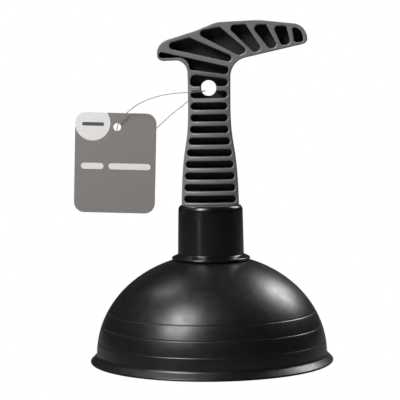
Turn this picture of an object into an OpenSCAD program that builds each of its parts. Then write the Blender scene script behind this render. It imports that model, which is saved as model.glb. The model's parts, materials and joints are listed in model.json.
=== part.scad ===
// Hand plunger for sinks: a rubber cup, a flanged collar and a ribbed T-shaped handle, with a swing tag.
// Millimetres, +Z up along the cup's axis. The origin is the centre of the cup's rim on the floor.
// The handle's flat faces look along -Y and +Y, and the long end of its head points to +X.

/* [Cup] */
// Radius of the flared lip, the cup's widest part
lip_r = 75; // [70:0.5:80]
// Radius of the dome where it meets the flared lip
dome_r = 71.2; // [66:0.2:72]
// Height of the dome's widest circle above the floor
dome_base_z = 4.8; // [3.5:0.1:6]
// Rise of the whole ellipse above its widest circle
dome_rise = 61.2; // [55:0.2:66]
// Height of the flat seat on the crown
crown_z = 62.8; // [61:0.1:63]
// Thickness of the rubber wall
cup_wall = 3; // [2.5:0.1:4]
// Height of the flat ceiling inside the crown
ceiling_z = 56; // [52:0.5:57]
// Radius of the flat ceiling inside the crown
ceiling_r = 20; // [18.5:0.5:22]
// Thickness of the lip at its edge
lip_edge = 1.6; // [1.2:0.1:2.2]

/* [Collar] */
// Height of the collar's top
collar_top_z = 96.6; // [90:0.2:100]
// Outer radius at the collar's top
collar_top_r = 19.85; // [19.5:0.05:20.2]
// Outer radius at the collar's foot
collar_foot_r = 20.35; // [19.9:0.05:20.8]
// Bore radius of the socket
socket_r = 17.3; // [16.5:0.1:17.5]
// Thickness of the socket's floor
socket_floor = 3.8; // [3:0.1:5]
// Rounding of the collar's outer top edge
collar_lip_round = 2; // [1:0.1:2.4]
// Outer radius of the flange bead
flange_r = 24.15; // [23:0.05:25]
// Thickness of the flange bead
flange_h = 2.4; // [1.8:0.1:3]
// Radius of the foot that stands on the cup's crown
collar_seat_r = 21.3; // [20.5:0.1:22]
// Gap between the flange bead and the crown's seat
flange_gap = 0.6; // [0.4:0.1:1]

/* [Handle] */
// Thickness of the handle, from its front face to its back face
handle_depth = 20; // [18:0.5:22]
// Thickness of the web between the front and the back pockets
web = 2.5; // [2:0.1:4]
// Half width of the shaft at its waist
waist_half = 12.85; // [12:0.05:14]
// Half width of the shaft at its foot
foot_half = 17.6; // [17:0.1:18]
// Radius that the foot's corners are turned to
foot_turn_r = 19.3; // [18.5:0.1:19.6]
// Radius of the hang hole
hang_hole_r = 4.8; // [4:0.1:5]
// Height of the hang hole's centre
hang_hole_z = 168.4; // [167.5:0.1:169]
// Sideways place of the hang hole's centre
hang_hole_x = -0.4; // [-1:0.1:1]

/* [Ladder slots] */
// Number of equal slots up the shaft
slot_count = 10; // [10:10]
// Height of the lowest slot's centre line
slot_first_z = 100.5; // [100.3:0.1:100.7]
// Distance from one slot to the next
slot_pitch = 7.1; // [7:0.05:7.15]
// Height of a slot
slot_h = 4.2; // [3.8:0.1:4.6]
// Width of the wall between a slot's end and the shaft's side
side_wall = 1.8; // [1.5:0.1:2.2]

/* [Fixing] */
// Radius of the steel clamp plate under the crown
plate_r = 18; // [15:0.5:18]
// Thickness of the clamp plate
plate_t = 1.6; // [1.2:0.1:2.5]
// Radius of the sealing washer
washer_r = 8; // [6.5:0.5:10]
// Thickness of the sealing washer
washer_t = 2; // [1.5:0.1:3]
// Radius of the screw's shank
screw_r = 2.35; // [2:0.05:2.4]
// Radius of the screw's head
screw_head_r = 4.8; // [4:0.1:5.5]
// Height of the screw's head
screw_head_h = 3.4; // [2.5:0.1:4]
// Length of the screw's shank
screw_length = 32; // [26:1:36]

/* [Tag] */
// Width of the card
card_w = 50; // [45:0.5:52]
// Height of the card
card_h = 61.6; // [55:0.2:64]
// Thickness of the card
card_t = 0.5; // [0.4:0.1:0.6]
// Radius of the card's corners
card_corner = 6.4; // [5:0.2:8]
// Radius of the hole punched in the card
card_hole_r = 2.4; // [2.2:0.1:2.6]
// Distance from the card's top edge to the centre of its hole
card_hole_drop = 8.7; // [8:0.1:9.5]
// Sideways place of the hole from the card's middle
card_hole_shift = 0.9; // [0:0.1:2]
// Tilt of the card, clockwise as seen from the front
card_tilt = 1.9; // [0:0.1:4]
// Sideways place of the card's hole
card_hole_x = -56.8; // [-57.2:0.1:-56.4]
// Height of the card's hole
card_hole_z = 145; // [144.6:0.1:145.4]
// Diameter of the nylon filament
loop_d = 0.5; // [0.5:0.05:0.6]

/* [Hidden] */

eps = 0.01;
round_fn = 96;
corner_steps = 6;
half_depth = handle_depth / 2;

// Heights and radii of the parts stacked through the crown
collar_floor_z = crown_z + socket_floor;
plate_z = ceiling_z - plate_t;
washer_z = plate_z - washer_t;
screw_clear_r = screw_r + 0.65;
screw_hole_r = screw_r + 0.05;

// Half width of the shaft: a Bezier curve from the waist, straight above it, to the foot
waist_z = 159;
waist_pull_z = 129;
foot_pull = [16.55, 139];
side_steps = 24;

// Outline of the handle's head, as corners [x, z, radius], from the shaft's right side to its left side
head_corners = [
    [13.05, 184.75, 11.8],
    [59.8, 195.2, 3],
    [59.9, 206, 9.2],
    [30, 209.3, 60],
    [4.6, 208.15, 20],
    [-8.2, 203, 22],
    [-31.35, 195.95, 8.5],
    [-31.35, 185.1, 3.4],
    [-13, 185.75, 7.6]
];

// Fan of pockets in the head, then the neck pocket, as corners [x, z, radius]
head_pockets = [
    [[-30.4, 194, 2.1], [-11.6, 198.9, 1.5], [13.9, 187.8, 1.8], [13.3, 184, 1.8]],
    [[-9, 202.2, 2.1], [7, 205.2, 1.6], [23.9, 190.5, 2], [18.4, 187.9, 1.8]],
    [[10.7, 206, 2.2], [22.6, 206.6, 1.5], [32.5, 191.3, 2.2], [27.7, 189.7, 2.2]],
    [[25.5, 206.2, 2.4], [35, 206.3, 1.4], [41.9, 193.2, 1.9], [37, 191.8, 1.8]],
    [[39.2, 205.5, 1.9], [47.2, 205.2, 1.3], [49.9, 194.2, 2.4], [44.2, 194.1, 1.6]],
    [[50.5, 205.5, 1.3], [56.6, 202.2, 5], [57.6, 195.6, 1.5], [52, 195.6, 1.5]],
    [[-30.1, 190.7, 1.6], [12.3, 181, 1.8], [11.3, 176.4, 1.8], [-11.4, 179.6, 1.2],
     [-12, 184.2, 6.4], [-16.2, 186.9, 6.4], [-30.1, 186.8, 1.6]]
];

// Pocket between the neck pocket and the hang hole's rib
upper_slot = [[-11.2, 176.8, 3.2], [11.3, 173.7, 2], [11.3, 169.5, 2], [-11.2, 169.5, 2.1]];

// Tenon of the handle inside the collar
tenon_clear = 0.1;
tenon_flat = 9.6;
tenon_disc_h = 3.4;
tenon_pocket = [[5.6, 72.6, 1.5], [14.2, 72.6, 1.5], [14.2, 93.6, 1.5], [5.6, 93.6, 1.5]];

// Lock head of the filament, behind the card
lock_size = [6.4, 2.6, 3];
lock_place = [-42.6, 2.9, 134.6];
lock_turn = -45;

// Route of the filament: out of the lock, through the card's hole from behind, over the card's top edge,
// across the shaft's front, through the hang hole, and back behind the shaft and the card to the lock
loop_route = [
    [-44.9, 2.9, 132.3], [-47.2, 2.9, 130.7], [-50, 2.9, 130], [-52.9, 2.9, 131], [-55.2, 2.8, 134],
    [-56.6, 2.5, 138], [-57, 1.5, 142], [-56.8, 0, 144.8], [-56, -1.5, 147], [-53.9, -2, 150],
    [-50.3, -2.6, 154], [-44.7, -4, 158.2], [-38.8, -5.7, 161.2], [-32.9, -7.3, 163.2],
    [-27, -8.9, 164.6], [-21.2, -10.2, 165.4], [-15.3, -11, 165.8], [-10, -11.3, 166],
    [-6.6, -11.3, 166.2], [-4.6, -10.9, 166.4], [-3.2, -9.8, 166.6], [-2.7, -7.4, 166.7],
    [-2.6, 0, 166.8], [-2.7, 7.4, 166.7], [-3.2, 9.8, 166.5], [-4.6, 11.1, 166], [-6.6, 11.6, 165],
    [-9.4, 11.7, 163.2], [-13, 11.3, 160.6], [-18.3, 10, 156.4], [-24.3, 8.2, 151.8],
    [-30.2, 6, 146.4], [-35.4, 4, 141.7], [-38.4, 3.1, 138.8], [-40.3, 2.9, 136.9]
];
loop_sides = 8;
loop_rings = 76;

// ---- helpers ----

function unit(v) = v / norm(v);

// Points of a round corner of the given radius between two straight edges
function corner_arc(before, corner, after, radius) =
    let (to_before = unit(before - corner),
         to_after = unit(after - corner),
         half_angle = acos(to_before * to_after) / 2,
         centre = corner + unit(to_before + to_after) * radius / sin(half_angle),
         reach = radius / tan(half_angle),
         first = corner + to_before * reach - centre,
         last = corner + to_after * reach - centre,
         start = atan2(first[1], first[0]),
         turn = atan2(first[0] * last[1] - first[1] * last[0], first * last))
    [for (i = [0:corner_steps])
        centre + radius * [cos(start + turn * i / corner_steps), sin(start + turn * i / corner_steps)]];

function flat(corner) = [corner[0], corner[1]];

// An outline whose corners [x, z, radius] are rounded
function rounded(corners) =
    [for (i = [0:len(corners) - 1])
        each corner_arc(flat(corners[(i + len(corners) - 1) % len(corners)]), flat(corners[i]),
                        flat(corners[(i + 1) % len(corners)]), corners[i][2])];

function bezier(a, b, c, d, t) =
    a * pow(1 - t, 3) + 3 * b * t * pow(1 - t, 2) + 3 * c * t * t * (1 - t) + d * pow(t, 3);

// A point [half width, z] on the shaft's side, from the foot (0) to the waist (1)
function side_point(t) =
    bezier([foot_half, collar_top_z], foot_pull, [waist_half, waist_pull_z], [waist_half, waist_z], t);

// The curve's parameter at a height, found by halving
function side_parameter(z, low = 0, high = 1, rounds = 20) =
    rounds == 0 ? (low + high) / 2 :
    side_point((low + high) / 2)[1] < z ? side_parameter(z, (low + high) / 2, high, rounds - 1)
                                        : side_parameter(z, low, (low + high) / 2, rounds - 1);

function shaft_half(z) = z >= waist_z ? waist_half : side_point(side_parameter(z))[0];

// The head's rounded corners between the tops of the shaft's two sides
function head_points() =
    let (corners = concat([[waist_half, waist_z, 0]], head_corners, [[-waist_half, waist_z, 0]]))
    [for (i = [1:len(head_corners)])
        each corner_arc(flat(corners[i - 1]), flat(corners[i]), flat(corners[i + 1]), corners[i][2])];

function handle_outline() = concat(
    [for (i = [0:side_steps]) side_point(i / side_steps)],
    head_points(),
    [for (i = [side_steps:-1:0]) [-side_point(i / side_steps)[0], side_point(i / side_steps)[1]]]
);

// A slot across the shaft with fully round ends
function slot_corners(z) =
    let (half = shaft_half(z) - side_wall, high = slot_h / 2, radius = slot_h / 2 - 0.05)
    [[half, z + high, radius], [half, z - high, radius], [-half, z - high, radius], [-half, z + high, radius]];

// A quarter or half turn of points around a centre, for profiles that are revolved
function arc_points(centre, radius, from, to, steps = 8) =
    [for (i = [0:steps])
        let (angle = from + (to - from) * i / steps)
        centre + radius * [cos(angle), sin(angle)]];

function ellipse_point(r, rise, angle) = [r * cos(angle), dome_base_z + rise * sin(angle)];

// A point on the smooth curve through the filament's route
function route_point(u) =
    let (last = len(loop_route) - 1,
         i = min(floor(u), last - 1),
         t = u - i,
         p1 = loop_route[i],
         p2 = loop_route[i + 1],
         p0 = i > 0 ? loop_route[i - 1] : 2 * p1 - p2,
         p3 = i + 2 <= last ? loop_route[i + 2] : 2 * p2 - p1)
    0.5 * (2 * p1 + (p2 - p0) * t + (2 * p0 - 5 * p1 + 4 * p2 - p3) * t * t
           + (3 * p1 - p0 - 3 * p2 + p3) * pow(t, 3));

// ---- solids shared by several parts ----

// A flat outline drawn in X and Z, made solid along Y from y0 to y1
module slab(points, y0, y1) {
    translate([0, y1, 0])
        rotate([90, 0, 0])
            linear_extrude(height = y1 - y0)
                polygon(points);
}

// The same pocket cut into the front and the back face
module pocket_pair(points) {
    slab(points, -half_depth - 1, -web / 2);
    slab(points, web / 2, half_depth + 1);
}

module ring(outer, inner, z, h) {
    translate([0, 0, z])
        difference() {
            cylinder(r = outer, h = h, $fn = round_fn);
            translate([0, 0, -1])
                cylinder(r = inner, h = h + 2, $fn = round_fn);
        }
}

// ---- parts ----

module cup() {
    inner_r = dome_r - cup_wall;
    inner_rise = dome_rise - cup_wall;
    seat_angle = asin((crown_z - dome_base_z) / dome_rise);
    pad_r = ceiling_r + 3;
    pad_angle = acos(pad_r / inner_r);
    lip_round = lip_edge / 2;
    profile = concat(
        arc_points([lip_r - lip_round, lip_round], lip_round, -90, 60),
        [for (i = [0:36]) ellipse_point(dome_r, dome_rise, seat_angle * i / 36)],
        [[screw_clear_r, crown_z], [screw_clear_r, ceiling_z], [ceiling_r, ceiling_z]],
        [for (i = [28:-1:0]) ellipse_point(inner_r, inner_rise, pad_angle * i / 28)],
        [[lip_r - 3.4, 0.8], [lip_r - 2.8, 0]]
    );
    color([0.13, 0.13, 0.13])
        rotate_extrude($fn = round_fn)
            polygon(profile);
}

module collar() {
    bead = flange_h / 2;
    bead_z = crown_z + flange_gap;
    profile = concat(
        [[screw_clear_r, crown_z], [collar_seat_r, crown_z], [collar_seat_r, bead_z]],
        arc_points([flange_r - bead, bead_z + bead], bead, -90, 90),
        [[collar_foot_r, bead_z + flange_h]],
        arc_points([collar_top_r - collar_lip_round, collar_top_z - collar_lip_round],
                   collar_lip_round, 0, 90),
        [[socket_r, collar_top_z], [socket_r, collar_floor_z], [screw_clear_r, collar_floor_z]]
    );
    color([0.09, 0.09, 0.09])
        rotate_extrude($fn = round_fn)
            polygon(profile);
}

// The flatted round tenon that fills the collar's socket
module tenon() {
    tenon_r = socket_r - tenon_clear;
    intersection() {
        translate([0, 0, collar_floor_z])
            cylinder(r = tenon_r, h = collar_top_z - collar_floor_z + 1, $fn = round_fn);
        translate([-tenon_r, -tenon_flat, collar_floor_z - 1])
            cube([2 * tenon_r, 2 * tenon_flat, collar_top_z - collar_floor_z + 3]);
    }
    translate([0, 0, collar_floor_z])
        cylinder(r = tenon_r, h = tenon_disc_h, $fn = round_fn);
}

// The blade of the handle, its foot's corners turned to fit on the collar
module blade() {
    turn_top_z = 122;
    intersection() {
        slab(handle_outline(), -half_depth, half_depth);
        union() {
            translate([0, 0, collar_top_z - 1])
                cylinder(r = foot_turn_r, h = turn_top_z - collar_top_z + 2, $fn = round_fn);
            translate([-100, -50, turn_top_z])
                cube([200, 100, 100]);
        }
    }
}

module handle() {
    color([0.42, 0.42, 0.42])
        difference() {
            union() {
                blade();
                tenon();
            }
            for (corners = head_pockets)
                pocket_pair(rounded(corners));
            pocket_pair(rounded(upper_slot));
            for (i = [0:slot_count - 1])
                pocket_pair(rounded(slot_corners(slot_first_z + i * slot_pitch)));
            for (side = [-1, 1])
                pocket_pair([for (p = rounded(tenon_pocket)) [side * p[0], p[1]]]);
            translate([hang_hole_x, half_depth + 1, hang_hole_z])
                rotate([90, 0, 0])
                    cylinder(r = hang_hole_r, h = handle_depth + 2, $fn = round_fn);
            translate([0, 0, collar_floor_z - 1])
                cylinder(r = screw_hole_r, h = screw_length - (collar_floor_z - washer_z) + 2,
                         $fn = round_fn);
        }
}

module clamp_plate() {
    color([0.7, 0.7, 0.72])
        ring(plate_r, screw_clear_r, plate_z, plate_t);
}

module sealing_washer() {
    color([0.1, 0.1, 0.1])
        ring(washer_r, screw_hole_r, washer_z, washer_t);
}

module screw() {
    color([0.75, 0.75, 0.77])
        union() {
            translate([0, 0, washer_z - screw_head_h])
                cylinder(r = screw_head_r, h = screw_head_h, $fn = round_fn);
            translate([0, 0, washer_z - eps])
                cylinder(r = screw_r, h = screw_length + eps, $fn = round_fn);
        }
}

module tag_card() {
    half_w = card_w / 2;
    top = card_hole_drop;
    bottom = card_hole_drop - card_h;
    left = -half_w - card_hole_shift;
    right = half_w - card_hole_shift;
    outline = rounded([[right, top, card_corner], [right, bottom, card_corner],
                       [left, bottom, card_corner], [left, top, card_corner]]);
    color([0.5, 0.5, 0.48])
        translate([card_hole_x, 0, card_hole_z])
            rotate([0, card_tilt, 0])
                difference() {
                    slab(outline, -card_t / 2, card_t / 2);
                    translate([0, 1, 0])
                        rotate([90, 0, 0])
                            cylinder(r = card_hole_r, h = 2, $fn = round_fn);
                }
}

module tag_loop() {
    last = len(loop_route) - 1;
    centres = [for (i = [0:loop_rings - 1]) route_point(last * i / (loop_rings - 1))];
    rings = [for (i = [0:loop_rings - 1])
        let (before = centres[max(i - 1, 0)],
             after = centres[min(i + 1, loop_rings - 1)],
             along = unit(after - before),
             sideways = unit(cross(along, [0.2, 0.9, 0.4])),
             upward = cross(sideways, along))
        [for (k = [0:loop_sides - 1])
            centres[i] + loop_d / 2 * (sideways * cos(360 * k / loop_sides)
                                       + upward * sin(360 * k / loop_sides))]];
    points = [for (one_ring = rings) each one_ring];
    walls = [for (i = [0:loop_rings - 2]) for (k = [0:loop_sides - 1])
        let (a = i * loop_sides + k,
             b = i * loop_sides + (k + 1) % loop_sides)
        [a, b, b + loop_sides, a + loop_sides]];
    start_cap = [for (k = [loop_sides - 1:-1:0]) k];
    end_cap = [for (k = [0:loop_sides - 1]) (loop_rings - 1) * loop_sides + k];
    color([0.75, 0.75, 0.75])
        polyhedron(points, concat([start_cap], walls, [end_cap]), convexity = 6);
}

module loop_lock() {
    color([0.8, 0.8, 0.8])
        translate(lock_place)
            rotate([0, lock_turn, 0])
                cube(lock_size, center = true);
}

cup();
collar();
handle();
clamp_plate();
sealing_washer();
screw();
tag_card();
tag_loop();
loop_lock();
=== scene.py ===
"""Sink plunger: the looks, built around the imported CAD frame. Metres, +Z up, the handle's front to -Y."""
import json
import math

import bmesh
import bpy
import numpy as np
from mathutils import Matrix, Vector
from mathutils.geometry import delaunay_2d_cdt


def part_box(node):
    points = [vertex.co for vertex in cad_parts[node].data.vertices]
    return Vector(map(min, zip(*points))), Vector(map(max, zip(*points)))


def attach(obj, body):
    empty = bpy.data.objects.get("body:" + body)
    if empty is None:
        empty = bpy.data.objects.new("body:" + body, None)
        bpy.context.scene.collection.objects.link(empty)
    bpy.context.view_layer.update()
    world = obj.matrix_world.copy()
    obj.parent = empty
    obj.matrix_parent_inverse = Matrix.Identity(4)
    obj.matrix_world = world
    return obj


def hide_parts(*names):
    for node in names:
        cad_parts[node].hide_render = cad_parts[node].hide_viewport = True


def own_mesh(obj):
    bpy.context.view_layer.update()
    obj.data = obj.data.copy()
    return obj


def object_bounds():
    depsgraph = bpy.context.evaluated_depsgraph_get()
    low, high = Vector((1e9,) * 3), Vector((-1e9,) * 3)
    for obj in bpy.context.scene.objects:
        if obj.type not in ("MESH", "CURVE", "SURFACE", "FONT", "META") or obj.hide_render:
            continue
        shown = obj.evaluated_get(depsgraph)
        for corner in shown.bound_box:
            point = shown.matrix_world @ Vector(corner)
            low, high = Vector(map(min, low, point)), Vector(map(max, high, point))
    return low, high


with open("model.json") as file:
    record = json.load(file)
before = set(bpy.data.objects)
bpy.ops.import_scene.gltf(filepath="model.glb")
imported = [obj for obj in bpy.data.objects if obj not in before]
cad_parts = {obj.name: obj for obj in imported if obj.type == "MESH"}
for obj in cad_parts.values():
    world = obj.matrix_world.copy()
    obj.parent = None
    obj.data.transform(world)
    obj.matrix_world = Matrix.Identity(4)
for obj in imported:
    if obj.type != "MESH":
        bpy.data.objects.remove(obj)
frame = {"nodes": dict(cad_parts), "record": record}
cad_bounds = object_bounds()
nodes = frame["nodes"]
mounts = {mount["name"]: mount for mount in frame["record"]["mounts"]}
MM = 0.001


# ---- camera ----

def add_camera():
    """A long lens in front of the object, a little above it, slightly turned and rolled."""
    azimuth, pitch, pan, roll = (math.radians(a) for a in (1.2, 4.294, -0.357, 0.618))
    distance, height = 1.028, 0.1768
    lens, sensor = 150.66, 36.0
    heading = Vector((-math.sin(azimuth), math.cos(azimuth), 0))
    side = Vector((math.cos(azimuth), math.sin(azimuth), 0))
    up = Vector((0, 0, 1))
    ahead = heading * math.cos(pan) + side * math.sin(pan)
    across = side * math.cos(pan) - heading * math.sin(pan)
    forward = ahead * math.cos(pitch) - up * math.sin(pitch)
    top = up * math.cos(pitch) + ahead * math.sin(pitch)
    right = across * math.cos(roll) - top * math.sin(roll)
    top = across * math.sin(roll) + top * math.cos(roll)
    data = bpy.data.cameras.new("camera")
    data.lens, data.sensor_width = lens, sensor
    data.clip_start, data.clip_end = 0.01, 20
    camera = bpy.data.objects.new("camera", data)
    bpy.context.scene.collection.objects.link(camera)
    place = Matrix((right, top, -forward)).transposed().to_4x4()
    place.translation = Vector((math.sin(azimuth) * distance, -math.cos(azimuth) * distance, height))
    camera.matrix_world = place
    bpy.context.scene.camera = camera


# ---- outlines ----

def arc(centre, radius, start, end, steps):
    """Points on a circle's arc between two angles in degrees."""
    angles = [math.radians(start + (end - start) * i / steps) for i in range(steps + 1)]
    return [(centre[0] + radius * math.cos(a), centre[1] + radius * math.sin(a)) for a in angles]


def rounded(corners, steps=6):
    """A closed outline through corners (x, z, radius), each turned by an arc."""
    straight = math.radians(89.5)  # half of a corner's angle from which it is left as it is
    points = []
    for i, (x, z, radius) in enumerate(corners):
        corner = np.array((x, z))
        before = np.array(corners[i - 1][:2]) - corner
        after = np.array(corners[(i + 1) % len(corners)][:2]) - corner
        before, after = before / np.linalg.norm(before), after / np.linalg.norm(after)
        half = math.acos(max(-1, min(1, float(before @ after)))) / 2
        if radius == 0 or half > straight:
            points.append((x, z))
            continue
        middle = (before + after) / np.linalg.norm(before + after)
        centre = corner + middle * radius / math.sin(half)
        first = corner + before * radius / math.tan(half) - centre
        last = corner + after * radius / math.tan(half) - centre
        turn = math.atan2(first[0] * last[1] - first[1] * last[0], float(first @ last))
        start = math.atan2(first[1], first[0])
        points += arc(centre, radius, math.degrees(start), math.degrees(start + turn), steps)
    return points


def turns(points):
    """Each point's turn, in radians, positive to the left."""
    p = np.array(points)
    before, after = p - np.roll(p, 1, 0), np.roll(p, -1, 0) - p
    cross = before[:, 0] * after[:, 1] - before[:, 1] * after[:, 0]
    return np.arctan2(cross, (before * after).sum(1))


def anticlockwise(points):
    """The outline, reversed if it runs clockwise."""
    return list(points) if turns(points).sum() > 0 else list(reversed(points))


def without_straight_points(points, tolerance=0.0005 * MM):
    """The outline without the points that lie on a straight line between their neighbours."""
    kept = []
    for i, here in enumerate(points):
        a, b, c = (np.array(q) for q in (points[i - 1], here, points[(i + 1) % len(points)]))
        span = c - a
        off = abs(span[0] * (b - a)[1] - span[1] * (b - a)[0]) / max(np.linalg.norm(span), 1e-12)
        if off > tolerance:
            kept.append(here)
    return kept


def smoother(points, longest=5 * MM, sharpest=0.5):
    """The outline with a point added on the arc of each chord up to the longest, between two turns to the
    same side that are below the sharpest, in radians."""
    turn = turns(points)
    result = []
    for i, here in enumerate(points):
        j = (i + 1) % len(points)
        result.append(here)
        p, q = np.array(here), np.array(points[j])
        length = np.linalg.norm(q - p)
        a, b = turn[i], turn[j]
        if length < longest and a * b > 0 and max(abs(a), abs(b)) < sharpest:
            out = np.array((q[1] - p[1], p[0] - q[0])) / length
            bulge = length / 2 * math.tan((a if abs(a) > abs(b) else b) / 4)
            result.append(tuple((p + q) / 2 + out * bulge))
    return result


def divided(points, step, closed=True):
    """The outline with its long stretches cut into pieces no longer than step."""
    result = []
    last = len(points) if closed else len(points) - 1
    for i in range(last):
        p, q = np.array(points[i]), np.array(points[(i + 1) % len(points)])
        count = max(1, math.ceil(np.linalg.norm(q - p) / step - 1e-6))
        result += [tuple(p + (q - p) * k / count) for k in range(count)]
    return result if closed else result + [points[-1]]


def offset(points, distance):
    """An anticlockwise outline moved inward by the distance, or outward by a negative one."""
    p = np.array(points)
    before, after = p - np.roll(p, 1, 0), np.roll(p, -1, 0) - p
    before /= np.linalg.norm(before, axis=1)[:, None]
    after /= np.linalg.norm(after, axis=1)[:, None]
    normal = np.stack([-(before + after)[:, 1], (before + after)[:, 0]], 1)
    normal /= np.linalg.norm(normal, axis=1)[:, None]
    least_lean = 0.6  # keeps a sharp corner's point from running away
    lean = np.clip(np.sqrt((1 + (before * after).sum(1)) / 2), least_lean, 1)
    return [tuple(q) for q in p + normal * (distance / lean)[:, None]]


def section(node, y):
    """The closed outlines (x, z) where the plane at y cuts a CAD node."""
    digits = 7  # of metres, so that neighbouring triangles' cuts meet
    mesh = nodes[node].data
    mesh.calc_loop_triangles()
    links = {}
    for triangle in mesh.loop_triangles:
        corners = [tuple(mesh.vertices[i].co) for i in triangle.vertices]
        cut = []
        for a, b in ((0, 1), (1, 2), (2, 0)):
            p, q = sorted((corners[a], corners[b]))
            if (p[1] - y) * (q[1] - y) < 0:
                t = (y - p[1]) / (q[1] - p[1])
                cut.append(tuple(round(p[k] + (q[k] - p[k]) * t, digits) for k in (0, 2)))
        if len(cut) == 2 and cut[0] != cut[1]:
            links.setdefault(cut[0], []).append(cut[1])
            links.setdefault(cut[1], []).append(cut[0])
    outlines = []
    while links:
        here = next(iter(links))
        outline = [here]
        while links.get(here):
            there = links[here].pop()
            links[there].remove(here)
            if not links[here]:
                del links[here]
            here = there
            outline.append(here)
        links.pop(here, None)
        outlines.append(anticlockwise(without_straight_points(outline[:-1])))
    return outlines


def clearance(first, second):
    """The shortest distance from the first outline's points to the second outline."""
    p = np.array(first)[:, None]
    a = np.array(second)[None]
    along = np.roll(a, -1, 1) - a
    share = np.clip(((p - a) * along).sum(2) / np.maximum((along ** 2).sum(2), 1e-18), 0, 1)
    return float(np.linalg.norm(p - a - along * share[..., None], axis=2).min())


def inside(point, outline):
    """True if the point lies in the closed outline."""
    x, z = point
    result = False
    for i, (x1, z1) in enumerate(outline):
        x0, z0 = outline[i - 1]
        if (z0 > z) != (z1 > z) and x < x0 + (x1 - x0) * (z - z0) / (z1 - z0):
            result = not result
    return result


# ---- meshes ----

def new_piece(name, bm, body, materials, smooth=True, angle=35):
    """A mesh object from a bmesh, riding on a body. If it is smooth, its edges over the angle in degrees
    stay sharp, and its normals are weighted by face size."""
    same_place = 0.0005 * MM
    bmesh.ops.remove_doubles(bm, verts=bm.verts, dist=same_place)
    bmesh.ops.recalc_face_normals(bm, faces=bm.faces)
    mesh = bpy.data.meshes.new(name)
    bm.to_mesh(mesh)
    bm.free()
    for material in materials:
        mesh.materials.append(material)
    piece = bpy.data.objects.new(name, mesh)
    bpy.context.scene.collection.objects.link(piece)
    if smooth:
        mesh.polygons.foreach_set("use_smooth", [True] * len(mesh.polygons))
        mesh.set_sharp_from_angle(angle=math.radians(angle))
        weighted = piece.modifiers.new("weighted normals", "WEIGHTED_NORMAL")
        weighted.keep_sharp = True
    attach(piece, body)
    return piece


def add_strip(bm, first, second, material=0):
    """Quads between two closed rings of vertices."""
    for i in range(len(first)):
        j = (i + 1) % len(first)
        bm.faces.new((first[i], first[j], second[j], second[i])).material_index = material


def lathe(name, body, profile, materials, steps=192):
    """A closed profile (radius, z) turned round the Z axis."""
    bm = bmesh.new()
    angles = [2 * math.pi * k / steps for k in range(steps)]
    rings = [[bm.verts.new((r * math.cos(a), r * math.sin(a), z)) for a in angles] for r, z in profile]
    for i, ring in enumerate(rings):
        add_strip(bm, ring, rings[(i + 1) % len(rings)])
    return new_piece(name, bm, body, materials)


def filled(outline, holes, regions=()):
    """Triangles between anticlockwise outlines, as (points, triangles, marks). A mark is the number of the
    region that a triangle lies in, counted from 1, or 0. Regions only cut the faces."""
    loops = [outline, *holes, *regions]
    scale = 1000  # the triangulation's own tolerance suits millimetres
    points = [Vector(p) * scale for loop in loops for p in loop]
    ends = np.cumsum([0] + [len(loop) for loop in loops])
    rings = [list(range(start, end)) for start, end in zip(ends, ends[1:])]
    found = delaunay_2d_cdt(points, [], rings, 1, 1e-5)
    triangles, marks = [], []
    for face, within in zip(found[2], found[5]):
        if 0 in within and not any(1 <= loop <= len(holes) for loop in within):
            triangles.append(face)
            marks.append(max(0, max(within) - len(holes)))
    return [(p[0] / scale, p[1] / scale) for p in found[0]], triangles, marks


def front_depth(x, z):
    """How far the grip's convex front has fallen back from the flat head's plane, fading out up the neck."""
    curve, full_below, flat_above = 14.0, 0.170, 0.183  # 1/m, then two heights
    share = min(1, max(0, (flat_above - z) / (flat_above - full_below)))
    return curve * x * x * share * share * (3 - 2 * share)


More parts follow.
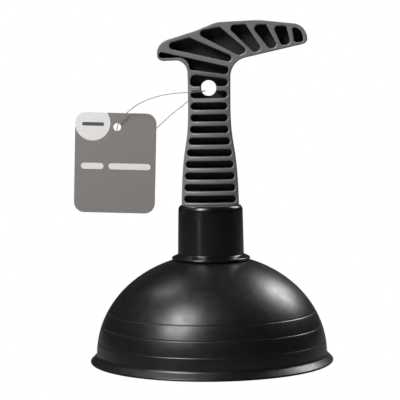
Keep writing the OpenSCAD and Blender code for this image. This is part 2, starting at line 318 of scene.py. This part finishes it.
def ribbed(name, body, materials, outline, pockets, front, fall, floor, turn_r, edge, pocket_edge,
           hole=None):
    """A blade of two mirrored halves with pockets down to a web.

    materials: that of its skin, and that of its pockets' walls and floors, which is painted shade.  front:
    its half depth.  fall(x, z): how far the front
    falls back.  floor: the web's half thickness.  turn_r: the radius that its sides are turned to, or None.
    edge: the rounding of its outer edges.  pocket_edge: that of the pockets' edges where there is room.
    hole: a hole's centre and outline, or None."""
    bm = bmesh.new()
    steps, side_rings = 5, 6
    draft, fillet, spare = 0.1 * MM, 0.25 * MM, 0.06 * MM

    def ring(points, depth=0, y=None):
        """Vertices at a depth behind the front's face, or at a given y."""
        result = []
        for x, z in points:
            at = -(front - fall(x, z)) + depth if y is None else y
            reach = math.sqrt(turn_r ** 2 - at ** 2) if turn_r else abs(x)
            result.append(bm.verts.new((max(-reach, min(reach, x)), at, z)))
        return result

    def join(rings, material):
        for a, b in zip(rings, rings[1:]):
            add_strip(bm, a, b, material)

    def cap(outer, holes, y=None, material=0):
        """A flat face with holes, on the front or at a given y."""
        corners, triangles, _ = filled(outer, holes)
        verts = ring(corners, y=y)
        for face in triangles:
            bm.faces.new([verts[i] for i in face]).material_index = material

    def rounding(points, side, radius):
        """Rings from the front face over a rounded edge: side 1 for the outside, -1 for a pocket."""
        angles = [math.pi / 2 * k / steps for k in range(steps + 1)]
        return [ring(offset(points, side * radius * (1 - math.sin(a))), radius * (1 - math.cos(a)))
                for a in angles]

    # The second material is painted shade: below their rounded edges the pockets' walls and floors, and the
    # hole's bore, are drawn near black for the shade deep in them.
    skin, painted_shade = 0, 1  # the numbers of the two materials
    rooms = [min(pocket_edge, clearance(pocket, outline) - edge - spare) for pocket in pockets]
    cap(offset(outline, edge), [offset(pocket, -room) for pocket, room in zip(pockets, rooms)])
    sides = rounding(outline, 1, edge)
    depth = min(front - fall(x, z) for x, z in outline) - edge
    sides += [ring(outline, y=-depth * (1 - k / side_rings)) for k in range(1, side_rings + 1)]
    join(sides, skin)
    for pocket, room in zip(pockets, rooms):
        rim = rounding(pocket, -1, room)
        join(rim, skin)
        walls = [rim[-1]]
        if hole and inside(hole[0], pocket):
            walls.append(ring(pocket, y=-floor))
            join(walls, painted_shade)
            cap(pocket, [hole[1]], -floor, painted_shade)
            join([ring(hole[1], y=-floor), ring(hole[1], y=0)], painted_shade)
            continue
        walls.append(ring(offset(pocket, draft), y=-floor - fillet))
        for k in range(1, steps + 1):
            a = math.pi / 2 * k / steps
            inward = draft + fillet * (1 - math.cos(a))
            walls.append(ring(offset(pocket, inward), y=-floor - fillet * (1 - math.sin(a))))
        join(walls, painted_shade)
        cap(offset(pocket, draft + fillet), [], -floor, painted_shade)
    half = bm.verts[:] + bm.edges[:] + bm.faces[:]
    copy = bmesh.ops.duplicate(bm, geom=half)["geom"]
    bmesh.ops.scale(bm, vec=(1, -1, 1), verts=[v for v in copy if isinstance(v, bmesh.types.BMVert)])
    return new_piece(name, bm, body, materials, angle=50)


# ---- materials ----

def principled(name, colour, roughness, **sockets):
    """A material with a Principled shader, and its node tree to add detail to."""
    material = bpy.data.materials.new(name)
    material.use_nodes = True
    tree = material.node_tree
    shader = tree.nodes["Principled BSDF"]
    shader.inputs["Base Color"].default_value = (*colour, 1)
    shader.inputs["Roughness"].default_value = roughness
    for socket, value in sockets.items():
        shader.inputs[socket.replace("_", " ")].default_value = value
    return material, tree, shader


def noise(tree, scale, detail=3, stretch=(1, 1, 1)):
    """A noise's value over the object's own coordinates."""
    place = tree.nodes.new("ShaderNodeTexCoord")
    mapping = tree.nodes.new("ShaderNodeMapping")
    mapping.inputs["Scale"].default_value = stretch
    texture = tree.nodes.new("ShaderNodeTexNoise")
    texture.inputs["Scale"].default_value = scale
    texture.inputs["Detail"].default_value = detail
    tree.links.new(place.outputs["Object"], mapping.inputs["Vector"])
    tree.links.new(mapping.outputs["Vector"], texture.inputs["Vector"])
    return texture.outputs["Fac"]


def ramp(tree, value, low, high, start=0.35, end=0.65):
    """Maps a value from start to end onto a colour or a number from low to high."""
    mapped = tree.nodes.new("ShaderNodeMapRange")
    if isinstance(low, tuple):
        mapped.data_type = "FLOAT_VECTOR"
        tree.links.new(value, mapped.inputs["Vector"])
        sockets = {socket.identifier: socket for socket in mapped.inputs}
        names = ("From_Min_FLOAT3", "From_Max_FLOAT3", "To_Min_FLOAT3", "To_Max_FLOAT3")
        for name, setting in zip(names, ((start,) * 3, (end,) * 3, low, high)):
            sockets[name].default_value = setting
        return mapped.outputs["Vector"]
    tree.links.new(value, mapped.inputs["Value"])
    for name, setting in zip(("From Min", "From Max", "To Min", "To Max"), (start, end, low, high)):
        mapped.inputs[name].default_value = setting
    return mapped.outputs["Result"]


def add_bump(tree, shader, height, distance, strength=1.0):
    """A bump on the shader's normal, as deep as the distance in metres."""
    bump = tree.nodes.new("ShaderNodeBump")
    bump.inputs["Strength"].default_value = strength
    bump.inputs["Distance"].default_value = distance
    tree.links.new(height, bump.inputs["Height"])
    tree.links.new(bump.outputs["Normal"], shader.inputs["Normal"])


def moulded(name, colour, spread, roughness, roughness_spread, grain, grain_depth):
    """Moulded plastic or rubber: a cloudy colour and gloss, and a fine grain."""
    colour_scale, gloss_scale = 45, 160  # spots to a metre, about
    material, tree, shader = principled(name, colour, roughness)
    low = tuple(c * (1 - spread) for c in colour)
    high = tuple(c * (1 + spread) for c in colour)
    tree.links.new(ramp(tree, noise(tree, colour_scale, 4), low, high), shader.inputs["Base Color"])
    rough = ramp(tree, noise(tree, gloss_scale), roughness - roughness_spread, roughness + roughness_spread)
    tree.links.new(rough, shader.inputs["Roughness"])
    add_bump(tree, shader, noise(tree, grain, 2), grain_depth)
    return material


def brushed_steel(name):
    """Zinc-plated steel with fine turning marks round the Z axis."""
    material, tree, shader = principled(name, (0.62, 0.62, 0.63), 0.32, Metallic=1.0)
    place = tree.nodes.new("ShaderNodeTexCoord")
    wave = tree.nodes.new("ShaderNodeTexWave")
    wave.wave_type, wave.rings_direction = "RINGS", "Z"
    wave.inputs["Scale"].default_value = 400
    wave.inputs["Distortion"].default_value = 1.5
    tree.links.new(place.outputs["Object"], wave.inputs["Vector"])
    tree.links.new(ramp(tree, wave.outputs["Fac"], 0.26, 0.4, 0, 1), shader.inputs["Roughness"])
    tree.links.new(ramp(tree, noise(tree, 220), (0.55, 0.55, 0.57), (0.68, 0.68, 0.68)),
                   shader.inputs["Base Color"])
    add_bump(tree, shader, wave.outputs["Fac"], 0.01 * MM, 0.4)
    return material


def paper(name, colour, spread=0.02, roughness=0.6):
    """Printed card: a faint mottle in the ink and paper fibres in the surface."""
    material, tree, shader = principled(name, colour, roughness)
    low = tuple(c * (1 - spread) for c in colour)
    high = tuple(c * (1 + spread) for c in colour)
    tree.links.new(ramp(tree, noise(tree, 700, 4), low, high), shader.inputs["Base Color"])
    add_bump(tree, shader, noise(tree, 1800, 2, (1, 1, 2)), 0.01 * MM)
    return material


def nylon(name):
    """Natural nylon: milky and translucent."""
    material, tree, shader = principled(name, (0.6, 0.6, 0.6), 0.25, Transmission_Weight=0.75, IOR=1.53)
    tree.links.new(ramp(tree, noise(tree, 900), (0.55, 0.55, 0.55), (0.65, 0.65, 0.64)),
                   shader.inputs["Base Color"])
    add_bump(tree, shader, noise(tree, 2500), 0.01 * MM)
    return material


RUBBER = moulded("cup_rubber", (0.0065, 0.0063, 0.0063), 0.12, 0.35, 0.03, 2600, 0.02 * MM)
COLLAR = moulded("collar_plastic", (0.004, 0.0038, 0.0038), 0.1, 0.26, 0.03, 1500, 0.01 * MM)
GRIP = moulded("handle_plastic", (0.17, 0.17, 0.17), 0.05, 0.34, 0.04, 2200, 0.03 * MM)
# Painted shade: the pockets' walls and floors are the grip's own grey plastic, drawn near black for the
# shade that falls deep in them.
POCKET_PAINTED_SHADE = moulded("handle_pocket_painted_shade", (0.02, 0.02, 0.02), 0.08, 0.5, 0.03, 2200, 0.03 * MM)
SEAL = moulded("washer_rubber", (0.04, 0.04, 0.04), 0.1, 0.6, 0.03, 2600, 0.03 * MM)
STEEL = brushed_steel("steel")
CARD = paper("card", (0.225, 0.212, 0.203))
CARD_WHITE = paper("card_white", (0.8, 0.785, 0.775))
CARD_INK = paper("card_dark_ink", (0.09, 0.088, 0.086))
NYLON = nylon("nylon")


# ---- filament loop, its lock and the card ----

LOOP_ROUTE_MM = [
    (-44.9, 2.9, 132.3), (-47.2, 2.9, 130.7), (-50, 2.9, 130), (-52.9, 2.9, 131), (-55.2, 2.8, 134),
    (-56.6, 2.5, 138), (-57, 1.5, 142), (-56.8, 0, 144.8), (-56, -1.5, 147), (-53.9, -2, 150),
    (-50.3, -2.6, 154), (-44.7, -4, 158.2), (-38.8, -5.7, 161.2), (-32.9, -7.3, 163.2),
    (-27, -8.9, 164.6), (-21.2, -10.2, 165.4), (-15.3, -11, 165.8), (-10, -11.3, 166),
    (-6.6, -11.3, 166.2), (-4.6, -10.9, 166.4), (-3.2, -9.8, 166.6), (-2.7, -7.4, 166.7),
    (-2.6, 0, 166.8), (-2.7, 7.4, 166.7), (-3.2, 9.8, 166.5), (-4.6, 11.1, 166), (-6.6, 11.6, 165),
    (-9.4, 11.7, 163.2), (-13, 11.3, 160.6), (-18.3, 10, 156.4), (-24.3, 8.2, 151.8),
    (-30.2, 6, 146.4), (-35.4, 4, 141.7), (-38.4, 3.1, 138.8), (-40.3, 2.9, 136.9)
]
LOOP_DIAMETER = 0.5 * MM


def smooth_route(points, steps=5):
    """A Catmull-Rom curve through the points."""
    p = [Vector(q) * MM for q in points]
    p = [2 * p[0] - p[1], *p, 2 * p[-1] - p[-2]]
    result = []
    for a, b, c, d in zip(p, p[1:], p[2:], p[3:]):
        for t in (k / steps for k in range(steps)):
            result.append(0.5 * (2 * b + (c - a) * t + (2 * a - 5 * b + 4 * c - d) * t * t
                                 + (3 * b - a - 3 * c + d) * t ** 3))
    return result + [p[-2]]


def add_loop():
    """The nylon filament: a round tube along its route. It rides with the hanger."""
    route = smooth_route(LOOP_ROUTE_MM)
    curve = bpy.data.curves.new("filament_loop", "CURVE")
    curve.dimensions = "3D"
    curve.bevel_depth, curve.bevel_resolution, curve.use_fill_caps = LOOP_DIAMETER / 2, 3, True
    spline = curve.splines.new("POLY")
    spline.points.add(len(route) - 1)
    for point, place in zip(spline.points, route):
        point.co = (*place, 1)
    curve.materials.append(NYLON)
    loop = bpy.data.objects.new("filament_loop", curve)
    bpy.context.scene.collection.objects.link(loop)
    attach(loop, "tag_hanger")
    return loop, route


def add_lock():
    """The lock head that the filament's end is pushed into: a small leaning block with a waist."""
    low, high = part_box("loop_lock")
    length, depth, height, r = 6.4 * MM, 2.6 * MM, 3.0 * MM, 0.5 * MM
    lean = math.radians(-45)
    stations = [(-0.5, 0.82), (-0.46, 0.97), (-0.18, 1), (-0.14, 0.84), (0.1, 0.84), (0.14, 1), (0.46, 0.97),
                (0.5, 0.82)]
    bm = bmesh.new()
    rings = []
    for along, size in stations:
        y, z = depth / 2 * size, height / 2 * size
        outline = rounded([(-y, -z, r), (y, -z, r), (y, z, r), (-y, z, r)], 4)
        rings.append([bm.verts.new((along * length, p, q)) for p, q in outline])
    for a, b in zip(rings, rings[1:]):
        add_strip(bm, a, b)
    bm.faces.new(rings[0])
    bm.faces.new(rings[-1])
    place = Matrix.Translation((low + high) / 2) @ Matrix.Rotation(lean, 4, "Y")
    bmesh.ops.transform(bm, matrix=place, verts=bm.verts)
    lock = new_piece("filament_lock", bm, "tag_hanger", [NYLON])
    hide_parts("loop_lock")
    return lock


def bar(x, z, width, height):
    """A plain printed bar with round ends, from its left end's middle."""
    r = height / 2 - 0.02 * MM  # just short of a half circle, so that the ends keep a short straight
    return rounded([(x, z - height / 2, r), (x + width, z - height / 2, r),
                    (x + width, z + height / 2, r), (x, z + height / 2, r)], 5)


def add_card():
    """The card: drawn upright with its hole at the origin, then tilted and moved to its place."""
    tilt, hole_x, hole_z, hole_r = math.radians(1.9), -56.8 * MM, 145 * MM, 2.4 * MM
    width, height, thick, corner = 50 * MM, 61.6 * MM, 0.5 * MM, 6.4 * MM
    top, left = 8.7 * MM, -25.9 * MM
    right, bottom = left + width, top - height
    bar_z, bar_height = -24.2 * MM, 3.8 * MM
    outline = rounded([(left, bottom, corner), (right, bottom, corner), (right, top, corner),
                       (left, top, corner)], 10)
    hole = arc((0, 0), hole_r, 0, 360, 40)[:-1]
    roundel = arc((left + 10.7 * MM, top - 6.4 * MM), 10.9 * MM, 0, 360, 72)[:-1]
    roundel_bar = bar(left + 4.2 * MM, 1.6 * MM, 13.6 * MM, 2.2 * MM)
    bars = [bar(left + start, bar_z, length, bar_height)
            for start, length in ((3.9 * MM, 14 * MM), (20.9 * MM, 26 * MM))]
    corners, triangles, marks = filled(outline, [hole], [roundel, *bars, roundel_bar])
    inks = [0, 1, 1, 1, 2]  # the material of the bare card and of each printed region
    bm = bmesh.new()
    verts = [bm.verts.new((x, -thick / 2, z)) for x, z in corners]
    for face, mark in zip(triangles, marks):
        bm.faces.new([verts[i] for i in face]).material_index = inks[mark]
    front = bm.faces[:]
    made = bmesh.ops.extrude_face_region(bm, geom=front)["geom"]
    for face in bm.faces:
        if face not in front:
            face.material_index = 0
    bmesh.ops.translate(bm, vec=(0, thick, 0), verts=[v for v in made if isinstance(v, bmesh.types.BMVert)])
    place = Matrix.Translation((hole_x, 0, hole_z)) @ Matrix.Rotation(tilt, 4, "Y")
    bmesh.ops.transform(bm, matrix=place, verts=bm.verts)
    card = new_piece("card_tag", bm, "tag", [CARD, CARD_WHITE, CARD_INK], smooth=False)
    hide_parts("tag_card")
    return card


add_camera()
loop, loop_path = add_loop()
lock = add_lock()
card = add_card()
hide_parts("tag_loop")


# ---- cup ----

def dome_radius(radius, rise, base, z):
    """The dome's radius at a height: a quarter of an ellipse."""
    return radius * math.sqrt(max(0, 1 - ((z - base) / rise) ** 2))


def groove_depth(z, heights, half, deepest):
    """How deep the rings' grooves are at a height."""
    depth = 0
    for height in heights:
        nearness = max(0, 1 - abs(z - height) / half)
        depth += deepest * math.sin(nearness * math.pi / 2) ** 2
    return depth


def add_cup():
    """The rubber cup: a lip, a flare, a dome with three grooves, a crown with a hole, and the inside."""
    low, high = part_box("cup")
    lip_r, crown_z = high.x, high.z
    dome_r, base, rise, wall = 71.2 * MM, 4.8 * MM, 61.2 * MM, 3.0 * MM
    ceiling_z, ceiling_r, bore_r, pad_r = 56 * MM, 20 * MM, 3.0 * MM, 23 * MM
    grooves, groove_half, deepest = (31 * MM, 22.3 * MM, 13 * MM), 0.45 * MM, 0.22 * MM
    outer_low, outer_rows, inner_rows, flare_rows = base + 1.4 * MM, 60, 40, 8
    groove_rows, groove_room = (-1.6, -1, -0.7, -0.35, 0, 0.35, 0.7, 1, 1.6), 1.8  # in half widths

    shares = [1 - (1 - k / outer_rows) ** 1.6 for k in range(outer_rows + 1)]
    heights = [outer_low + (crown_z - outer_low) * share for share in shares]
    heights = [z for z in heights if all(abs(z - g) > groove_half * groove_room for g in grooves)]
    heights += [g + groove_half * share for g in grooves for share in groove_rows]
    outer = [(dome_radius(dome_r, rise, base, z) - groove_depth(z, grooves, groove_half, deepest), z)
             for z in sorted(heights)]

    lip_round, turn = 0.8 * MM, 0.9 * MM
    lip = arc((lip_r - lip_round, lip_round), lip_round, -90, 45, 8)
    flare_top = Vector(outer[0])
    corner = Vector((flare_top.x, lip[-1][1] + lip[-1][0] - flare_top.x))
    flare_foot = corner + Vector((turn, -turn))
    flare = [tuple((1 - t) ** 2 * flare_foot + 2 * t * (1 - t) * corner + t * t * flare_top)
             for t in (k / flare_rows for k in range(flare_rows))]

    crown = rounded([(outer[-1][0], crown_z, 0.8 * MM), (bore_r, crown_z, 0.3 * MM),
                     (bore_r, ceiling_z, 0.3 * MM), (ceiling_r, ceiling_z, 1.5 * MM)], 4)
    inner = []
    for k in range(1, inner_rows + 1):
        z = (ceiling_z + 2 * MM) * (1 - (k / inner_rows) ** 1.4)
        r = dome_radius(dome_r - wall, rise - wall, base, max(z, base))
        if r > pad_r and z > base:
            inner.append((r, z))
    foot = [(lip_r - 3.6 * MM, 0.9 * MM), (lip_r - 2.6 * MM, 0)]
    cup = lathe("cup_piece", "base", lip + flare + outer[:-1] + crown + inner + foot, [RUBBER], 256)
    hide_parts("cup")
    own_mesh(cup)


# ---- collar ----

def add_collar():
    """The collar: a sleeve with a floor, a sloped flange at its foot and a rolled lip at its top."""
    low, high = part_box("collar")
    top, seat, flange_r = high.z, low.z, high.x
    bore_r, seat_r, hole_r, floor = 17.3 * MM, 21.3 * MM, 3.0 * MM, 3.8 * MM
    top_r, foot_r, gap, edge, fillet = 19.85 * MM, 20.35 * MM, 0.1 * MM, 1.0 * MM, 1.0 * MM
    neck, lip_width, lip_height, bore_edge = 4.1 * MM, 2.1 * MM, 3.4 * MM, 0.4 * MM
    profile = [(hole_r, seat), (seat_r, seat), (seat_r, seat + gap)]
    profile += arc((flange_r - edge, seat + gap + edge), edge, -90, 60, 10)
    profile += arc((foot_r + fillet, seat + neck), fillet, 240, 180, 6)
    profile += [(top_r - lip_width * (1 - math.cos(a)), top - lip_height * (1 - math.sin(a)))
                for a in (math.pi / 2 * k / 10 for k in range(11))]
    profile += arc((bore_r + bore_edge, top - bore_edge), bore_edge, 90, 180, 4)
    profile += [(bore_r, seat + floor), (hole_r, seat + floor)]
    collar = lathe("collar_piece", "grip", profile, [COLLAR], 192)
    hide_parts("collar")


# ---- handle ----

def span(outline):
    """An outline's height."""
    heights = [p[1] for p in outline]
    return max(heights) - min(heights)


def handle_outlines():
    """The blade's outline and its pockets, from the CAD node's sections, and its half depth."""
    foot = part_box("collar")[1].z - 0.1 * MM
    tallest_pocket, past_foot, near_middle = 40 * MM, 1 * MM, 0.01 * MM
    half_depth = max(v.co.y for v in nodes["handle"].data.vertices if v.co.z > foot + past_foot)
    middle = max(section("handle", near_middle), key=span)
    start = next(i for i, p in enumerate(middle) if p[1] < foot)
    outline = without_straight_points([p for p in middle[start:] + middle[:start] if p[1] > foot])
    loops = [loop for loop in section("handle", -half_depth / 2) if min(p[1] for p in loop) > foot]
    return outline, [loop for loop in loops if span(loop) < tallest_pocket], half_depth


def merged_with_hole(pocket, centre, radius, hole):
    """The pocket's outline and the hole's, sharing their points where the pocket runs along the hole."""
    tolerance = 0.03 * MM
    clear = 0.27  # radians kept free of points at the ribs' corners, for the rounded edges to fit

    def on_hole(p):
        return abs(math.dist(p, centre) - radius) < tolerance

    def angle(p):
        return math.atan2(p[1] - centre[1], p[0] - centre[0])

    count = len(pocket)
    kept = [p for i, p in enumerate(pocket)
            if not (on_hole(p) and on_hole(pocket[i - 1]) and on_hole(pocket[(i + 1) % count]))]
    result, skipped = [], set()
    for i, p in enumerate(kept):
        q = kept[(i + 1) % len(kept)]
        result.append(p)
        if on_hole(p) and on_hole(q) and math.dist(p, q) < radius:
            sweep = (angle(q) - angle(p) + math.pi) % (2 * math.pi) - math.pi
            way = math.copysign(1, sweep)
            along = sorted(((angle(h) - angle(p)) * way % (2 * math.pi), h) for h in hole)
            along = [(turned, h) for turned, h in along if turned < abs(sweep)]
            result += [h for turned, h in along if clear < turned < abs(sweep) - clear]
            skipped |= {h for turned, h in along if h not in result}
    shared = {p for p in result if on_hole(p)}
    return result, sorted((set(hole) - skipped) | shared, key=angle)


def add_handle():
    """The handle above the collar: a ribbed blade with a T head, cut out along the CAD's own outlines."""
    outline, pockets, half_depth = handle_outlines()
    hang = mounts["hang_hole"]
    centre, radius = (hang["pos_m"][0], hang["pos_m"][2]), hang["dims"]["r_mm"] * MM
    web, edge, pocket_edge = 2.5 * MM, 0.6 * MM, 0.9 * MM
    pocket_step, outline_step = 1.6 * MM, 2 * MM
    hole = arc(centre, radius, 0, 360, 72)[:-1]
    fine = []
    for pocket in pockets:
        if inside(centre, pocket):
            pocket, hole = merged_with_hole(pocket, centre, radius, hole)
            fine.append(pocket)
        else:
            fine.append(divided(smoother(pocket), pocket_step))
    outline = divided(smoother(outline, longest=6 * MM), outline_step)
    # The second material paints shade into the pockets' walls and floors.
    blade = ribbed("handle_blade", "grip", [GRIP, POCKET_PAINTED_SHADE], outline, fine, half_depth, front_depth, web / 2,
                   None, edge, pocket_edge, (centre, hole))
    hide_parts("handle")


def add_tenon(handle_foot):
    """The tenon in the collar's socket: a flatted round post with pockets, on a round foot."""
    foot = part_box("handle")[0].z
    tenon_r, flat, disc_h, screw_hole_r, web, edge = (n * MM for n in (17.2, 9.6, 3.4, 2.4, 2.5, 0.3))
    low, high = foot + disc_h, handle_foot
    outline = [(-tenon_r, low), (tenon_r, low), (tenon_r, high), (-tenon_r, high)]
    inner, outer, pocket_low, pocket_high, r = (n * MM for n in (5.6, 13.2, 72.6, 93.6, 1.5))
    right = rounded([(inner, pocket_low, r), (outer, pocket_low, r), (outer, pocket_high, r),
                     (inner, pocket_high, r)])
    left = anticlockwise([(-x, z) for x, z in right])
    # The second material paints shade into the pockets' walls and floors.
    post = ribbed("handle_tenon", "grip", [GRIP, POCKET_PAINTED_SHADE], divided(outline, 2 * MM), [right, left], flat,
                  lambda x, z: 0, web / 2, tenon_r, edge, edge)
    chamfer = 0.4 * MM
    profile = [(screw_hole_r, foot), (tenon_r - chamfer, foot), (tenon_r, foot + chamfer),
               (tenon_r, low - chamfer), (tenon_r - chamfer, low), (screw_hole_r, low)]
    disc = lathe("handle_tenon_foot", "grip", profile, [GRIP])
    for piece in (post, disc):
        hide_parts("handle")


# ---- fixing inside the crown ----

def rounded_ring(name, node, material, hole_r, edge):
    """A flat ring with rounded edges that fills a CAD node's box."""
    low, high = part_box(node)
    profile = rounded([(hole_r, low.z, edge / 2), (high.x, low.z, edge), (high.x, high.z, edge),
                       (hole_r, high.z, edge / 2)], 5)
    piece = lathe(name, "grip", profile, [material], 128)
    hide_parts(node)


def cross_outline(half_width, reach):
    """A plus sign's outline with rounded ends."""
    quarter = [(reach, -half_width, half_width * 0.6), (reach, half_width, half_width * 0.6),
               (half_width, half_width, half_width * 0.3)]
    corners = []
    for turn in range(4):
        a = math.pi / 2 * turn
        corners += [(x * math.cos(a) - y * math.sin(a), x * math.sin(a) + y * math.cos(a), r)
                    for x, y, r in quarter]
    return rounded(corners, 3)


def add_screw():
    """A pan-head screw with a cross recess, head down under the washer, its thread up in the tenon."""
    low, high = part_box("screw")
    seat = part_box("sealing_washer")[0].z
    head_r, dome_r, head_edge = high.x, 1.5 * MM, 0.2 * MM
    neck_r, core_r, crest_r, pitch, neck, tip = (n * MM for n in (2.2, 1.75, 2.3, 1.8, 2, 5))
    count, per_turn, ridge_half = 48, 8, 0.24
    angles = [2 * math.pi * k / count for k in range(count)]
    bm = bmesh.new()

    def circle(radii, z):
        return [bm.verts.new((r * math.cos(a), r * math.sin(a), z)) for r, a in zip(radii, angles)]

    def join(rings):
        for a, b in zip(rings, rings[1:]):
            add_strip(bm, a, b)

    def thread(z):
        """The radius at each angle: a ridge that climbs one pitch a turn, on a core with a tip."""
        share = min(1, (high.z - z) / tip)
        core = core_r * share ** 0.7 + 0.05 * MM
        rise = min(1, (z - seat - neck) / pitch) * (crest_r - core_r) * share
        phases = [(z / pitch - a / (2 * math.pi)) % 1 for a in angles]
        return [core + rise * max(0, 1 - abs(phase - 0.5) / ridge_half) for phase in phases]

    plain = arc((head_r - dome_r, low.z + dome_r), dome_r, -90, 0, 7)
    plain += [(head_r, seat - head_edge), (head_r - head_edge, seat), (neck_r, seat), (neck_r, seat + neck)]
    steps = int((high.z - seat - neck) / pitch * per_turn)
    heights = [seat + neck + (high.z - seat - neck) * k / steps for k in range(1, steps + 1)]
    rings = [circle([r] * count, z) for r, z in plain] + [circle(thread(z), z) for z in heights]
    join(rings)
    bm.faces.new(rings[-1])

    cross = cross_outline(0.5 * MM, 2.3 * MM)
    corners, triangles, _ = filled([tuple(v.co[:2]) for v in rings[0]], [cross])
    flat = [bm.verts.new((x, y, low.z)) for x, y in corners]
    for face in triangles:
        bm.faces.new([flat[i] for i in face])
    recess = [[bm.verts.new((x * share, y * share, low.z + depth)) for x, y in cross]
              for share, depth in ((1, 0), (0.86, 1.2 * MM), (0.45, 2.1 * MM))]
    join(recess)
    bm.faces.new(recess[-1])
    screw = new_piece("screw_piece", bm, "grip", [STEEL], angle=30)
    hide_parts("screw")


add_cup()
add_collar()
add_handle()
add_tenon(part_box("collar")[1].z)
rounded_ring("clamp_plate_piece", "clamp_plate", STEEL, 3 * MM, 0.5 * MM)
rounded_ring("washer_piece", "sealing_washer", SEAL, 2.4 * MM, 0.6 * MM)
add_screw()


# ---- stage, light and world ----

def add_floor():
    """A plain floor: pure white to the camera, and a grey that throws little light back on the object."""
    half_size, gap = 6, 0.2 * MM
    bm = bmesh.new()
    bmesh.ops.create_grid(bm, x_segments=1, y_segments=1, size=half_size)
    bmesh.ops.translate(bm, vec=(0, 0, cad_bounds[0].z - gap), verts=bm.verts)
    mesh = bpy.data.meshes.new("floor")
    bm.to_mesh(mesh)
    bm.free()
    material = bpy.data.materials.new("floor")
    material.use_nodes = True
    tree = material.node_tree
    shader = tree.nodes["Principled BSDF"]
    shader.inputs["Base Color"].default_value = (0.2, 0.2, 0.2, 1)
    shader.inputs["Roughness"].default_value = 0.9
    glow = tree.nodes.new("ShaderNodeEmission")
    glow.inputs["Strength"].default_value = 1.0
    mix = tree.nodes.new("ShaderNodeMixShader")
    path = tree.nodes.new("ShaderNodeLightPath")
    tree.links.new(path.outputs["Is Camera Ray"], mix.inputs["Fac"])
    tree.links.new(shader.outputs["BSDF"], mix.inputs[1])
    tree.links.new(glow.outputs["Emission"], mix.inputs[2])
    tree.links.new(mix.outputs["Shader"], tree.nodes["Material Output"].inputs["Surface"])
    mesh.materials.append(material)
    floor = bpy.data.objects.new("floor", mesh)
    bpy.context.scene.collection.objects.link(floor)


def add_light(name, azimuth, elevation, distance, width, height, power):
    """A soft box that faces the object's middle. Its azimuth runs from the front to the right. Angles are in
    degrees, sizes in metres and the power in watts."""
    a, e = math.radians(azimuth), math.radians(elevation)
    target = (cad_bounds[0] + cad_bounds[1]) / 2
    back = Vector((math.sin(a) * math.cos(e), -math.cos(a) * math.cos(e), math.sin(e)))
    data = bpy.data.lights.new(name, "AREA")
    data.shape, data.size, data.size_y, data.energy = "RECTANGLE", width, height, power
    light = bpy.data.objects.new(name, data)
    bpy.context.scene.collection.objects.link(light)
    light.location = target + back * distance
    light.rotation_euler = (-back).to_track_quat("-Z", "Y").to_euler()


def add_world():
    """A white background to the camera that lights the object only faintly."""
    faint, white = 0.025, 1.0
    world = bpy.data.worlds.new("world")
    bpy.context.scene.world = world
    world.use_nodes = True
    tree = world.node_tree
    background = tree.nodes["Background"]
    path = tree.nodes.new("ShaderNodeLightPath")
    strength = tree.nodes.new("ShaderNodeMapRange")
    strength.inputs["To Min"].default_value = faint
    strength.inputs["To Max"].default_value = white
    background.inputs["Color"].default_value = (1, 1, 1, 1)
    tree.links.new(path.outputs["Is Camera Ray"], strength.inputs["Value"])
    tree.links.new(strength.outputs["Result"], background.inputs["Strength"])


add_floor()
add_light("key", -41, 43, 1.1, 0.36, 0.6, 15.5)
add_light("low_strip", -39, -3, 1.1, 0.1, 0.1, 0.15)
add_light("rim_right", 130, 35, 1.1, 0.42, 0.4, 7.0)
add_light("rim_left", -128, 55, 1.2, 0.25, 0.25, 3.5)
add_world()
bpy.context.scene.view_settings.view_transform = "Standard"
